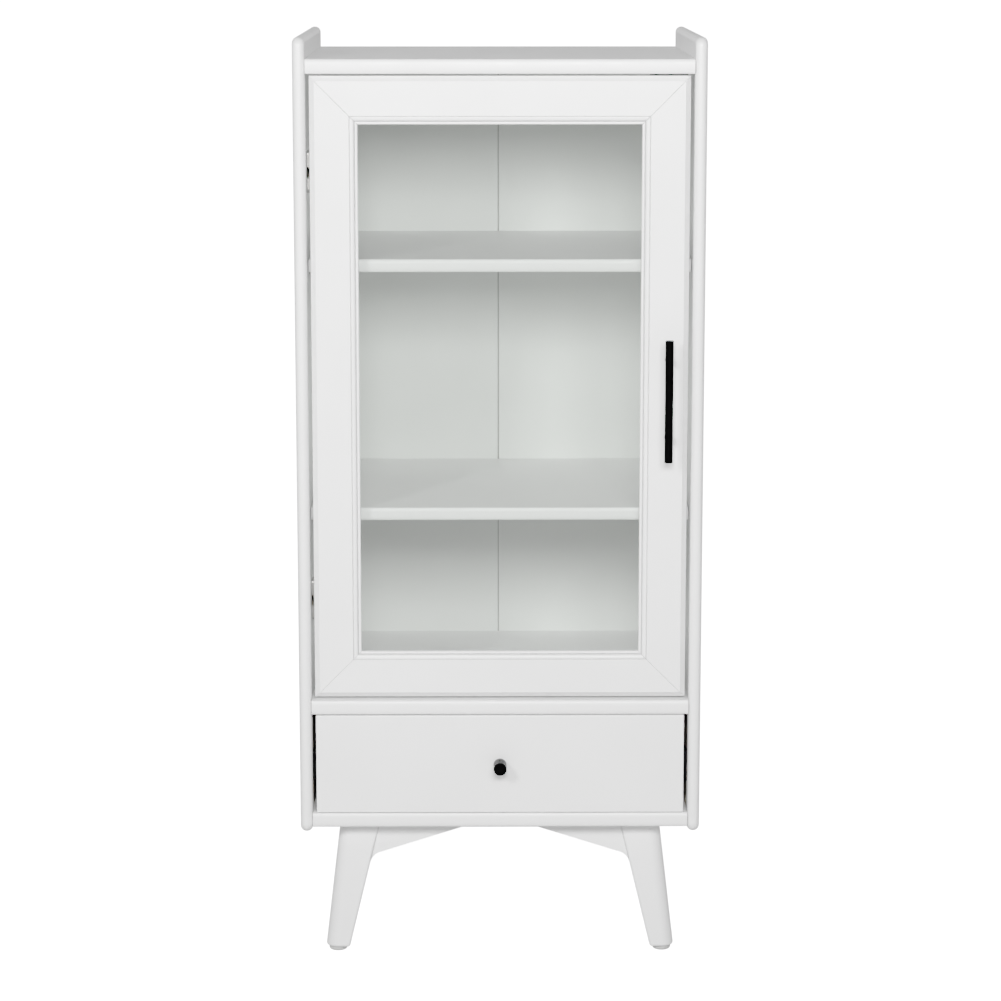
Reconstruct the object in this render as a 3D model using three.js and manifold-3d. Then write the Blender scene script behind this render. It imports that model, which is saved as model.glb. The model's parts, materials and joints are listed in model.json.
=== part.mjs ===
// A tall white display cabinet: one glazed door over one drawer, on a base with splayed legs.
// Millimetres, +Z up. The origin is on the floor, under the middle of the object's box. The front faces -Y.
// Depths are measured back from the front plane, which holds the front edges of the side panels.

import * as THREE from 'three';
import { mergeVertices } from 'three/addons/utils/BufferGeometryUtils.js';
import Module from 'manifold-3d';

const wasm = await Module();
wasm.setup();

// ---- Driving dimensions -------------------------------------------------------------------------

const GAP = 0.3; // between pieces that touch
const OVERSHOOT = 1; // how far a cutting tool stands out of what it cuts
const QUARTER = Math.PI / 2;
const SIDES = [
  ['left', -1],
  ['right', 1],
];

// Carcass
const WIDTH = 500;
const BODY_DEPTH = 400;
const HEIGHT = 1150;
const SIDE_BOTTOM = 162;
const SIDE_THICKNESS = 15;
const SIDE_NOSE = 7.2; // the side panels' edges are almost fully round
const SIDE_CORNER = 11;
const BOARD_THICKNESS = 18;
const BOARD_NOSE = 3.5;
const TOP_BOARD_Z = 1106; // underside of each board
const DIVIDER_Z = 314;
const BOTTOM_BOARD_Z = 169;
const INNER_HALF = WIDTH / 2 - SIDE_THICKNESS;

// Back, in two sheets that meet on the centre line with a half lap
const SHEET_THICKNESS = 4;
const SHEET_DEPTH = 395;
const SHEET_SEAM = 1.2;
const SHEET_LAP = 8; // the left sheet's tongue behind the right one
const REBATE_WIDTH = 7;
const REBATE_HEIGHT = 9;

// Shelves and their pins
const SHELF_THICKNESS = 16;
const SHELF_SETBACK = 30;
const SHELF_NOSE = 3;
const SHELF_END_GAP = 1;
const SHELF_Z = { lower: 555, upper: 864 };
const PIN_DEPTHS = { front: 66, rear: 350 };
const PIN_PEG = { radius: 2.5, length: 8 };
const PIN_HEAD = { radius: 3.5, length: 7, ease: 1 };
const PIN_SIDES = 12;

// Door
const DOOR_WIDTH = 461;
const DOOR_HEIGHT = 769;
const DOOR_Z = 335;
const DOOR_RECESS = 4;
const FRAME_WIDTH = 58.5;
const FRAME_THICKNESS = 20;
const FRAME_EDGE = { width: 7.5, depth: 5.5 }; // the round on the door's outer edge
const MOULDING = { width: 11, step: 1.2, land: 0.9, ovolo: 3.6, drop: 1.9, quirk: 0.8, bead: 1.9 };
const GLASS_THICKNESS = 4;
const GLASS_DEPTH = 9; // from the door's face to the glass
const REBATE_DEPTH = 8; // how far the glass reaches under the moulding
const GLAZING_BEAD = { setback: 1, radius: 5 };
const MITRE_GAP = 0.22; // left off each end, measured along the strip
const MITRE_SIDES = 5; // to each round stretch of a strip's section

// Hinges: a cup in the door, and a goose-neck arm that hooks round the door's edge from the side panel
const HINGE_INSET = 118; // from the door's top and bottom edges
const CUP_RADIUS = 17.5;
const CUP_HOLE_DEPTH = 12.5;
const CUP_FROM_EDGE = 22.5;
const CUP_WALL = 1;
const CUP_FLANGE = 1.2;
const CUP_SIDES = 28;
const CUP_WING = { width: 20, height: 62, corner: 6 };
const CUP_LUG = { reach: 8, height: 2, top: 5 };
const CUP_SCREW = { radius: 3.6, height: 1.6, ease: 0.4, spacing: 49, sides: 12 };
const PIVOT = { fromPanel: 14, depth: 16 };
const PIVOT_PIN = { radius: 1.5, length: 19, play: 0.1, sides: 16 };
const ARM_HEIGHT = 14;
const ARM_PLAY = 0.5; // above and below the arm, between the cup's lugs
const ARM_HALF_THICKNESS = 1.2;
const ARM_EYE = { radius: 2.6, height: 8 };
const ARM_HOOK = { inner: 13.5, outer: 16.5 };
const MOUNTING_PLATE = { start: 8, width: 20, height: 52, corner: 5, thickness: 2.5 };
const SADDLE = { length: 45, thickness: 5 };

// Handle, knob and catch
const HANDLE_X = 205.5;
const HANDLE_Z = 711.5; // middle of the bar
const HANDLE_LENGTH = 150;
const HANDLE_RADIUS = 5;
const RIM_EASE = 0.6; // on the ends of the handle and the knob
const HANDLE_REACH = 34; // from the door's face to the front of the bar
const POST_SPACING = 96;
const POST_RADIUS = 4;
const HANDLE_SIDES = 28;
const KNOB_Z = 250;
const KNOB_RADIUS = 8;
const KNOB_LENGTH = 25;
const CATCH = { x: 205, width: 46, depth: 15, height: 14 };
const CATCH_CORNER = 2;
const STRIKE = { width: 38, height: 11, thickness: 1.5, corner: 1, fromTop: 1 };

// Drawer
const DRAWER_FRONT = { width: 459, height: 125, thickness: 18, z: 188, ease: 1, corner: 1.2 };
const DRAWER_BOX = { z: 199, height: 88, length: 350, side: 12, clearance: 13, chamfer: 1.5 };
const DRAWER_BACK_DROP = 4; // how much lower the back's top edge is than the sides'
const DRAWER_FLOOR = { thickness: 6, z: 206, groove: 6 };
const SLIDE_DEPTH = 24;
const SLIDE_LENGTH = 345;
const SLIDE_Z = 243; // middle of the slides
const CHANNEL = { height: 36, depth: 10.5, metal: 1.5, lip: 6 };
const RUNNER_PLAY = 0.8;

// Base
const BASE_TOP = BOTTOM_BOARD_Z - GAP;
const LEG_BOTTOM = 6;
const LEG_EASE = 3.5; // rounding at the foot
const LEG_CORNER = 15; // rounding of the outer corner
const LEG_EDGE = 4;
const LEG_CORNER_SHRINK = 0.7; // how fast the corners tighten as the foot narrows
const LEG = {
  // distances from the centre line and depths from the front, at the floor and at the base's top
  foot: { inner: 191.9, outer: 221.2, front: 17, rear: 47 },
  top: { inner: 151.2, outer: 201.3, front: 27, rear: 77 },
};
const APRON_THICKNESS = 18;
const APRON_SETBACK = 29;
const APRON_SIDE_INSET = 55; // outer face of a side apron, in from the cabinet's side
const APRON_END_Z = 125;
const APRON_CROWN_Z = 161;
const APRON_SLOPE = 0.317;
const APRON_FILLET = 10;
const GLIDE = { radius: 11.5, flat: 7, stem: 2.5, stemLength: 12, sides: 24 };
const GLIDE_DOME = [
  // inset from the rim and height
  [1.6, 1.2],
  [0, 3.4],
];

const FRONT_Y = HANDLE_REACH - DOOR_RECESS - (BODY_DEPTH + HANDLE_REACH - DOOR_RECESS) / 2;
const BACK_Y = FRONT_Y + BODY_DEPTH;

const LACQUER = new THREE.MeshStandardMaterial({ color: 0xeeeeec, roughness: 0.42, metalness: 0 });
const BACK_WHITE = new THREE.MeshStandardMaterial({ color: 0xe4e6e2, roughness: 0.55, metalness: 0 });
const PLY = new THREE.MeshStandardMaterial({ color: 0xdcd8cf, roughness: 0.6, metalness: 0 });
const GLASS = new THREE.MeshStandardMaterial({
  color: 0xdfeee6,
  roughness: 0.05,
  metalness: 0,
  transparent: true,
  opacity: 0.3,
});
const BLACK_METAL = new THREE.MeshStandardMaterial({ color: 0x101010, roughness: 0.4, metalness: 0.6 });
const NICKEL = new THREE.MeshStandardMaterial({ color: 0xb9bab8, roughness: 0.3, metalness: 1 });
const SLIDE_STEEL = new THREE.MeshStandardMaterial({ color: 0x54565a, roughness: 0.45, metalness: 0.9 });
const GLIDE_PLASTIC = new THREE.MeshStandardMaterial({ color: 0xc9c9c7, roughness: 0.5, metalness: 0 });
const CATCH_PLASTIC = new THREE.MeshStandardMaterial({ color: 0x2a2a2b, roughness: 0.6, metalness: 0 });

// ---- Solids -------------------------------------------------------------------------------------

function toSolid(geometry) {
  const bare = geometry.index ? geometry.toNonIndexed() : geometry.clone();
  bare.deleteAttribute('normal');
  bare.deleteAttribute('uv');
  const merged = mergeVertices(bare, 1e-4);
  return new wasm.Manifold(
    new wasm.Mesh({
      numProp: 3,
      vertProperties: merged.attributes.position.array,
      triVerts: new Uint32Array(merged.index.array),
    }),
  );
}

function toGeometry(solid) {
  const mesh = solid.getMesh();
  const geometry = new THREE.BufferGeometry();
  geometry.setAttribute('position', new THREE.BufferAttribute(mesh.vertProperties, 3));
  geometry.setIndex(new THREE.BufferAttribute(mesh.triVerts, 1));
  geometry.computeVertexNormals();
  return geometry;
}

function join(...geometries) {
  return toGeometry(geometries.map(toSolid).reduce((whole, piece) => whole.add(piece)));
}

function cut(geometry, ...tools) {
  return toGeometry(tools.map(toSolid).reduce((whole, tool) => whole.subtract(tool), toSolid(geometry)));
}

function overlap(a, b) {
  return toGeometry(toSolid(a).intersect(toSolid(b)));
}

function mesh(name, geometry, material, [x, y, z], [rx, ry, rz] = [0, 0, 0]) {
  const made = new THREE.Mesh(geometry, material);
  made.name = name;
  made.position.set(x, y, z);
  made.rotation.set(rx, ry, rz);
  return made;
}

function groupOf(x, y, z, ...children) {
  const group = new THREE.Group();
  group.position.set(x, y, z);
  group.add(...children);
  return group;
}

// Turns that send a profile's x and y and its extrusion to the row's axes.
const ALONG_X = [QUARTER, QUARTER, 0]; // x to Y, y to Z, extruded to X
const ALONG_FRONT = [QUARTER, 0, 0]; // x to X, y to Z, extruded to -Y

function extrude(shape, length, curveSegments = 6) {
  return new THREE.ExtrudeGeometry(shape, { depth: length, bevelEnabled: false, curveSegments });
}

function box(x0, y0, z0, x1, y1, z1) {
  const middle = [(x0 + x1) / 2, (y0 + y1) / 2, (z0 + z1) / 2];
  return new THREE.BoxGeometry(x1 - x0, y1 - y0, z1 - z0).translate(...middle);
}

// Corner radii are for (x0, y0), (x1, y0), (x1, y1) and (x0, y1); a radius of 0 is a sharp corner.
function roundedRectangle(x0, y0, x1, y1, [a, b, c, d]) {
  const shape = new THREE.Shape();
  const corner = (x, y, radius, start) => {
    if (radius > 0) shape.absarc(x, y, radius, start, start + QUARTER);
    else shape.lineTo(x, y);
  };
  shape.moveTo(x0, y0 + a);
  corner(x0 + a, y0 + a, a, 2 * QUARTER);
  corner(x1 - b, y0 + b, b, 3 * QUARTER);
  corner(x1 - c, y1 - c, c, 0);
  corner(x0 + d, y1 - d, d, QUARTER);
  return shape;
}

// A solid of revolution about Z from [radius, z] points that start and end on the axis, bottom first.
function turned(points, segments) {
  const profile = points.map(([radius, z]) => new THREE.Vector2(radius, z));
  return new THREE.LatheGeometry(profile, segments).rotateX(QUARTER);
}

function rod(radius, length, ease, segments) {
  return turned(
    [
      [0, 0],
      [radius - ease, 0],
      [radius, ease],
      [radius, length - ease],
      [radius - ease, length],
      [0, length],
    ],
    segments,
  );
}

// A closed solid through rings of points, which run anticlockwise seen from above, bottom first.
function loft(rings) {
  const count = rings[0].length;
  const top = (rings.length - 1) * count;
  const faces = [];
  for (let ring = 0; ring < rings.length - 1; ring++) {
    for (let i = 0; i < count; i++) {
      const a = ring * count + i;
      const b = ring * count + ((i + 1) % count);
      faces.push(a, b, b + count, a, b + count, a + count);
    }
  }
  for (let i = 1; i < count - 1; i++) {
    faces.push(0, i + 1, i, top, top + i, top + i + 1);
  }
  const geometry = new THREE.BufferGeometry();
  const positions = new Float32Array(rings.flat(2));
  geometry.setAttribute('position', new THREE.BufferAttribute(positions, 3));
  geometry.setIndex(faces);
  geometry.computeVertexNormals();
  return geometry;
}

// ---- Carcass ------------------------------------------------------------------------------------

// The left panel, with its depth along x, the height above its foot along y and the inner face at z = 0.
function sidePanelGeometry() {
  const height = HEIGHT - SIDE_BOTTOM;
  const spare = 2 * SIDE_NOSE; // the rounded back edge is made too deep and then sawn off square
  const outline = roundedRectangle(0, 0, BODY_DEPTH + spare, height, [SIDE_CORNER, 0, 0, SIDE_CORNER]);
  const rounded = new THREE.ExtrudeGeometry(outline, {
    depth: SIDE_THICKNESS - 2 * SIDE_NOSE,
    bevelThickness: SIDE_NOSE,
    bevelSize: SIDE_NOSE,
    bevelOffset: -SIDE_NOSE,
    bevelSegments: 5,
    curveSegments: 4,
  }).translate(0, 0, SIDE_NOSE - SIDE_THICKNESS);
  const past = OVERSHOOT;
  const sawn = box(
    BODY_DEPTH,
    -past,
    -SIDE_THICKNESS - past,
    BODY_DEPTH + spare + past,
    height + past,
    past,
  );
  const rebateTop = TOP_BOARD_Z + REBATE_HEIGHT - SIDE_BOTTOM;
  const rebateFoot = BOTTOM_BOARD_Z - SIDE_BOTTOM;
  const rebate = box(SHEET_DEPTH - GAP, rebateFoot, -REBATE_WIDTH, BODY_DEPTH + past, rebateTop, past);
  return cut(rounded, sawn, rebate, ...pinHoles());
}

function pinHoles() {
  const holes = [];
  for (const shelf of Object.values(SHELF_Z)) {
    for (const depth of Object.values(PIN_DEPTHS)) {
      const hole = rod(PIN_PEG.radius + GAP, PIN_PEG.length + GAP + OVERSHOOT, 0, PIN_SIDES);
      holes.push(hole.translate(depth, pinZ(shelf) - SIDE_BOTTOM, -PIN_PEG.length - GAP));
    }
  }
  return holes;
}

function pinZ(shelfUnderside) {
  return shelfUnderside - GAP - PIN_HEAD.radius;
}

function sidePanels() {
  const geometry = sidePanelGeometry();
  return SIDES.map(([side, sign]) => {
    const place = [sign * INNER_HALF, FRONT_Y, SIDE_BOTTOM];
    const panel = mesh(`side_panel_${side}`, geometry, LACQUER, place, ALONG_X);
    panel.scale.z = -sign;
    return panel;
  });
}

function board(name, underside, thickness, length, front, back, nose) {
  const profile = roundedRectangle(front, 0, back, thickness, [nose, 0, 0, nose]);
  return mesh(name, extrude(profile, length, 4), LACQUER, [-length / 2, FRONT_Y, underside], ALONG_X);
}

// The top board runs over the back sheets, which stand in a rebate under its rear edge.
function topBoard() {
  const length = 2 * (INNER_HALF - GAP);
  const made = board('top_board', TOP_BOARD_Z, BOARD_THICKNESS, length, 0, BODY_DEPTH, BOARD_NOSE);
  const past = OVERSHOOT;
  const rebate = box(SHEET_DEPTH - GAP, -past, -past, BODY_DEPTH + past, REBATE_HEIGHT, length + past);
  made.geometry = cut(made.geometry, rebate);
  return made;
}

function boards() {
  const length = 2 * (INNER_HALF - GAP);
  const back = SHEET_DEPTH - GAP;
  return [
    topBoard(),
    board('divider_board', DIVIDER_Z, BOARD_THICKNESS, length, 0, back, BOARD_NOSE),
    board('bottom_board', BOTTOM_BOARD_Z, BOARD_THICKNESS, length, 0, back, BOARD_NOSE),
  ];
}

// Sections of the two sheets from above, with x from the centre line and y from their front face.
function sheetSection(side) {
  const outer = INNER_HALF + REBATE_WIDTH - GAP;
  const seam = SHEET_SEAM / 2;
  const back = SHEET_THICKNESS;
  const middle = SHEET_THICKNESS / 2;
  const lap = { left: [middle + GAP / 2, SHEET_LAP - GAP], right: [middle - GAP / 2, SHEET_LAP] };
  const [step, end] = lap[side];
  const sign = side === 'left' ? -1 : 1;
  const shape = new THREE.Shape();
  shape.moveTo(sign * outer, 0);
  shape.lineTo(sign * outer, back);
  shape.lineTo(end, back);
  shape.lineTo(end, step);
  shape.lineTo(sign * seam, step);
  shape.lineTo(sign * seam, 0);
  return shape;
}

function backSheets() {
  const foot = BOTTOM_BOARD_Z + GAP;
  const height = TOP_BOARD_Z + REBATE_HEIGHT - GAP - foot;
  return SIDES.map(([side]) => {
    const geometry = extrude(sheetSection(side), height);
    return mesh(`back_sheet_${side}`, geometry, BACK_WHITE, [0, FRONT_Y + SHEET_DEPTH, foot]);
  });
}

function shelves() {
  const length = 2 * (INNER_HALF - SHELF_END_GAP);
  const back = SHEET_DEPTH - SHELF_END_GAP;
  return Object.entries(SHELF_Z).map(([name, underside]) =>
    board(`shelf_${name}`, underside, SHELF_THICKNESS, length, SHELF_SETBACK, back, SHELF_NOSE),
  );
}

// A peg in the side panel with a thicker head that the shelf rests on.
function shelfPins() {
  const geometry = turned(
    [
      [0, -PIN_PEG.length],
      [PIN_PEG.radius, -PIN_PEG.length],
      [PIN_PEG.radius, GAP],
      [PIN_HEAD.radius, GAP],
      [PIN_HEAD.radius, PIN_HEAD.length - PIN_HEAD.ease],
      [PIN_HEAD.radius - PIN_HEAD.ease, PIN_HEAD.length],
      [0, PIN_HEAD.length],
    ],
    PIN_SIDES,
  );
  const pins = [];
  for (const [shelf, underside] of Object.entries(SHELF_Z)) {
    for (const [row, depth] of Object.entries(PIN_DEPTHS)) {
      for (const [side, sign] of SIDES) {
        const place = [sign * INNER_HALF, FRONT_Y + depth, pinZ(underside)];
        const name = `shelf_pin_${shelf}_${row}_${side}`;
        pins.push(mesh(name, geometry, NICKEL, place, [0, -sign * QUARTER, 0]));
      }
    }
  }
  return pins;
}

// ---- Base ---------------------------------------------------------------------------------------

function legAt(z) {
  const share = z / BOTTOM_BOARD_Z;
  const between = (key) => THREE.MathUtils.lerp(LEG.foot[key], LEG.top[key], share);
  return {
    inner: between('inner'),
    outer: between('outer'),
    front: between('front'),
    rear: between('rear'),
  };
}

// One level of the front right leg, with x from the centre line and y from the front plane.
function legRing(z, inset) {
  const { inner, outer, front, rear } = legAt(z);
  const shrink = LEG_CORNER_SHRINK * inset;
  const radii = [LEG_EDGE, LEG_CORNER, LEG_EDGE, LEG_EDGE].map((radius) => radius - shrink);
  const section = roundedRectangle(inner + inset, front + inset, outer - inset, rear - inset, radii);
  return section.getPoints(3).slice(0, -1).map((point) => [point.x, point.y, z]);
}

function legs() {
  const foot = legAt(LEG_BOTTOM);
  const centre = [(foot.inner + foot.outer) / 2, (foot.front + foot.rear) / 2];
  const body = loft([
    legRing(LEG_BOTTOM, LEG_EASE),
    legRing(LEG_BOTTOM + LEG_EASE / 3, LEG_EASE / 3),
    legRing(LEG_BOTTOM + LEG_EASE, 0),
    legRing(BASE_TOP, 0),
  ]);
  const bore = rod(GLIDE.stem + GAP, GLIDE.stemLength + GAP + OVERSHOOT, 0, GLIDE.sides);
  const leg = cut(body, bore.translate(...centre, LEG_BOTTOM - OVERSHOOT));
  const glide = glideGeometry().translate(...centre, 0);
  const made = [];
  for (const [row, y, front] of [['front', FRONT_Y, 1], ['rear', BACK_Y, -1]]) {
    for (const [side, sign] of SIDES) {
      const pair = [
        mesh(`leg_${row}_${side}`, leg, LACQUER, [0, y, 0]),
        mesh(`glide_${row}_${side}`, glide, GLIDE_PLASTIC, [0, y, 0]),
      ];
      pair.forEach((piece) => piece.scale.set(sign, front, 1));
      made.push(...pair);
    }
  }
  return made;
}

// A low dome with a flat sole, and a stem that is driven into the leg.
function glideGeometry() {
  const top = LEG_BOTTOM - GAP;
  return turned(
    [
      [0, 0],
      [GLIDE.flat, 0],
      ...GLIDE_DOME.map(([inset, height]) => [GLIDE.radius - inset, height]),
      [GLIDE.radius, top],
      [GLIDE.stem, top],
      [GLIDE.stem, top + GLIDE.stemLength],
      [0, top + GLIDE.stemLength],
    ],
    GLIDE.sides,
  );
}

// An apron is deep at the legs and rises in straight lines to a shallow middle.
// halfAt gives half its length at a level.
function apronShape(halfAt) {
  const end = halfAt(APRON_END_Z);
  const middle = end - (APRON_CROWN_Z - APRON_END_Z) / APRON_SLOPE;
  const tip = APRON_END_Z - APRON_FILLET;
  const curveStart = APRON_END_Z + APRON_SLOPE * APRON_FILLET;
  const shape = new THREE.Shape();
  shape.moveTo(-halfAt(BASE_TOP), BASE_TOP);
  shape.lineTo(-halfAt(tip), tip);
  shape.quadraticCurveTo(-end, APRON_END_Z, APRON_FILLET - end, curveStart);
  shape.lineTo(-middle, APRON_CROWN_Z);
  shape.lineTo(middle, APRON_CROWN_Z);
  shape.lineTo(end - APRON_FILLET, curveStart);
  shape.quadraticCurveTo(end, APRON_END_Z, halfAt(tip), tip);
  shape.lineTo(halfAt(BASE_TOP), BASE_TOP);
  return shape;
}

function aprons() {
  const across = extrude(apronShape((z) => legAt(z).inner - GAP), APRON_THICKNESS);
  const along = extrude(apronShape((z) => BODY_DEPTH / 2 - legAt(z).rear - GAP), APRON_THICKNESS);
  const sideX = WIDTH / 2 - APRON_SIDE_INSET;
  const middleY = FRONT_Y + BODY_DEPTH / 2;
  return [
    mesh('apron_front', across, LACQUER, [0, FRONT_Y + APRON_SETBACK + APRON_THICKNESS, 0], ALONG_FRONT),
    mesh('apron_rear', across, LACQUER, [0, BACK_Y - APRON_SETBACK, 0], ALONG_FRONT),
    mesh('apron_left', along, LACQUER, [-sideX, middleY, 0], ALONG_X),
    mesh('apron_right', along, LACQUER, [sideX - APRON_THICKNESS, middleY, 0], ALONG_X),
  ];
}

// ---- Door ---------------------------------------------------------------------------------------

// Section of the frame, with x inwards from the door's edge and y back from its face: a rounded outer
// edge, a flat face, then a step, an ovolo, a quirk and a bead at the sight edge. The glass stands in a
// rear rebate.
function frameProfile() {
  const { width, step, land, ovolo, drop, quirk, bead } = MOULDING;
  const start = FRAME_WIDTH - width;
  const floor = step + drop;
  const ovoloEnd = start + land + step / 4 + ovolo;
  const shape = new THREE.Shape();
  shape.moveTo(0, FRAME_THICKNESS);
  shape.lineTo(0, FRAME_EDGE.depth);
  shape.absellipse(
    FRAME_EDGE.width,
    FRAME_EDGE.depth,
    FRAME_EDGE.width,
    FRAME_EDGE.depth,
    2 * QUARTER,
    3 * QUARTER,
  );
  shape.lineTo(start, 0);
  shape.lineTo(start + step / 4, step);
  shape.lineTo(start + step / 4 + land, step);
  shape.quadraticCurveTo(ovoloEnd, step, ovoloEnd + quirk, floor);
  shape.lineTo(ovoloEnd + 2 * quirk, floor);
  shape.absarc(FRAME_WIDTH - bead, floor + bead / 2, bead, 3.3 * QUARTER, 4 * QUARTER);
  shape.lineTo(FRAME_WIDTH, GLASS_DEPTH - GAP);
  shape.lineTo(FRAME_WIDTH - REBATE_DEPTH, GLASS_DEPTH - GAP);
  shape.lineTo(FRAME_WIDTH - REBATE_DEPTH, FRAME_THICKNESS);
  return shape;
}

// A small quarter round that holds the glass from behind.
function glazingProfile() {
  const { setback, radius } = GLAZING_BEAD;
  const outer = FRAME_WIDTH - REBATE_DEPTH + GAP;
  const inner = FRAME_WIDTH - setback;
  const front = GLASS_DEPTH + GLASS_THICKNESS + GAP;
  const shape = new THREE.Shape();
  shape.moveTo(outer, FRAME_THICKNESS);
  shape.lineTo(outer, front);
  shape.lineTo(inner, front);
  shape.absarc(inner - radius, FRAME_THICKNESS - radius, radius, 0, QUARTER);
  return shape;
}

// A strip of a rectangular frame, mitred at both ends: the profile's x is how far each end is cut back.
function mitredStrip(profile, length) {
  const geometry = extrude(profile, length, MITRE_SIDES);
  const position = geometry.getAttribute('position');
  for (let i = 0; i < position.count; i++) {
    const cutBack = position.getX(i) + MITRE_GAP;
    const atFarEnd = position.getZ(i) > length / 2;
    position.setZ(i, atFarEnd ? length - cutBack : cutBack);
  }
  geometry.computeVertexNormals();
  return geometry;
}

// The frame's four strips by name, each with its length, its starting corner and its turn about Y.
function frameStrips() {
  const half = DOOR_WIDTH / 2;
  return [
    ['left', DOOR_HEIGHT, -half, 0, 0],
    ['right', DOOR_HEIGHT, half, DOOR_HEIGHT, 2 * QUARTER],
    ['top', DOOR_WIDTH, -half, DOOR_HEIGHT, QUARTER],
    ['bottom', DOOR_WIDTH, half, 0, -QUARTER],
  ];
}

function hingeHeights() {
  return { lower: HINGE_INSET, upper: DOOR_HEIGHT - HINGE_INSET };
}

function doorFrame() {
  const names = {
    left: 'door_stile_left',
    right: 'door_stile_right',
    top: 'door_rail_top',
    bottom: 'door_rail_bottom',
  };
  return frameStrips().map(([side, length, x, z, turn]) => {
    let geometry = mitredStrip(frameProfile(), length);
    if (side === 'left') geometry = cut(geometry, ...Object.values(hingeHeights()).map(cupHole));
    return mesh(names[side], geometry, LACQUER, [x, 0, z], [0, turn, 0]);
  });
}

function cupHole(z) {
  const hole = rod(CUP_RADIUS + GAP, CUP_HOLE_DEPTH + OVERSHOOT, 0, CUP_SIDES).rotateX(-QUARTER);
  return hole.translate(CUP_FROM_EDGE, FRAME_THICKNESS - CUP_HOLE_DEPTH, z);
}

function glazing() {
  const beads = frameStrips().map(([side, length, x, z, turn]) =>
    mesh(`glazing_bead_${side}`, mitredStrip(glazingProfile(), length), LACQUER, [x, 0, z], [0, turn, 0]),
  );
  const edge = FRAME_WIDTH - REBATE_DEPTH + 2 * GAP;
  const pane = new THREE.BoxGeometry(DOOR_WIDTH - 2 * edge, GLASS_THICKNESS, DOOR_HEIGHT - 2 * edge);
  const place = [0, GLASS_DEPTH + GLASS_THICKNESS / 2, DOOR_HEIGHT / 2];
  return [...beads, mesh('door_glass', pane, GLASS, place)];
}

// The cup's local frame: its centre on the door's back face, x along the door, y into the cabinet.
function cupGeometry() {
  const depth = CUP_HOLE_DEPTH - GAP;
  const shell = turned(
    [
      [0, -depth],
      [CUP_RADIUS, -depth],
      [CUP_RADIUS, CUP_FLANGE],
      [CUP_RADIUS - CUP_WALL, CUP_FLANGE],
      [CUP_RADIUS - CUP_WALL, CUP_WALL - depth],
      [0, CUP_WALL - depth],
    ],
    CUP_SIDES,
  ).rotateX(-QUARTER);
  return cut(join(shell, cupWings(), ...pinLugs(depth), ...screwHeads()), pivotBore());
}

// The flat wings that the cup is screwed on by, open over the cup itself.
function cupWings() {
  const { width, height, corner } = CUP_WING;
  const outline = roundedRectangle(-width / 2, -height / 2, width / 2, height / 2, Array(4).fill(corner));
  const plate = extrude(outline, CUP_FLANGE - GAP, 3).rotateX(QUARTER).translate(0, CUP_FLANGE, 0);
  return cut(plate, cupInside(2 * CUP_FLANGE, 3 * CUP_FLANGE));
}

// A cylinder as wide as the middle of the cup's wall, up to a level behind the door's back face.
function cupInside(end, length) {
  const cylinder = rod(CUP_RADIUS - CUP_WALL / 2, length, 0, CUP_SIDES).rotateX(-QUARTER);
  return cylinder.translate(0, end - length, 0);
}

function pinLugs(depth) {
  const { reach, height, top } = CUP_LUG;
  const half = ARM_HEIGHT / 2 + ARM_PLAY;
  const inside = cupInside(0, depth);
  return [-half - height, half].map((z) =>
    overlap(box(-CUP_RADIUS, -depth, z, reach - CUP_RADIUS, -top, z + height), inside),
  );
}

function screwHeads() {
  const { radius, height, ease, spacing, sides } = CUP_SCREW;
  return [-spacing / 2, spacing / 2].map((z) =>
    rod(radius, height, ease, sides).rotateX(-QUARTER).translate(0, CUP_FLANGE - GAP, z),
  );
}

function pivotInCup() {
  const fromDoorEdge = PIVOT.fromPanel - (INNER_HALF - DOOR_WIDTH / 2);
  return [fromDoorEdge - CUP_FROM_EDGE, PIVOT.depth - DOOR_RECESS - FRAME_THICKNESS];
}

function pivotBore() {
  const length = PIVOT_PIN.length + OVERSHOOT;
  const bore = rod(PIVOT_PIN.radius + PIVOT_PIN.play, length, 0, PIVOT_PIN.sides);
  return bore.translate(...pivotInCup(), -length / 2);
}

function hingeCups() {
  const x = CUP_FROM_EDGE - DOOR_WIDTH / 2;
  const [pinX, pinY] = pivotInCup();
  const pin = rod(PIVOT_PIN.radius, PIVOT_PIN.length, 0, PIVOT_PIN.sides);
  return Object.entries(hingeHeights()).flatMap(([name, z]) => [
    mesh(`hinge_cup_${name}`, cupGeometry(), NICKEL, [x, FRAME_THICKNESS, z]),
    mesh(`hinge_pin_${name}`, pin, NICKEL, [x + pinX, FRAME_THICKNESS + pinY, z - PIVOT_PIN.length / 2]),
  ]);
}

// The arm leaves the pin, hooks round the door's edge and runs back along the side panel to its plate.
// Its local frame is the pin's: x away from the panel, y back, and z up from the arm's middle.
function armGeometry() {
  const { inner, outer } = ARM_HOOK;
  const half = ARM_HALF_THICKNESS;
  const panel = GAP - PIVOT.fromPanel;
  const hook = new THREE.Shape();
  hook.moveTo(0, -half);
  hook.absarc(0, 0, outer, -Math.asin(half / outer), QUARTER);
  hook.lineTo(panel, outer);
  hook.lineTo(panel, inner);
  hook.lineTo(0, inner);
  hook.absarc(0, 0, inner, QUARTER, Math.asin(half / inner), true);
  hook.lineTo(0, half);
  const arm = extrude(hook, ARM_HEIGHT, 8).translate(0, 0, -ARM_HEIGHT / 2);
  const eye = rod(ARM_EYE.radius, ARM_EYE.height, 0, PIVOT_PIN.sides).translate(0, 0, -ARM_EYE.height / 2);
  const boreLength = ARM_HEIGHT + 2 * OVERSHOOT;
  const bore = rod(PIVOT_PIN.radius + PIVOT_PIN.play, boreLength, 0, PIVOT_PIN.sides);
  bore.translate(0, 0, -boreLength / 2);
  return cut(join(arm, eye, ...mountingPlate(panel, inner)), bore);
}

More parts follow.
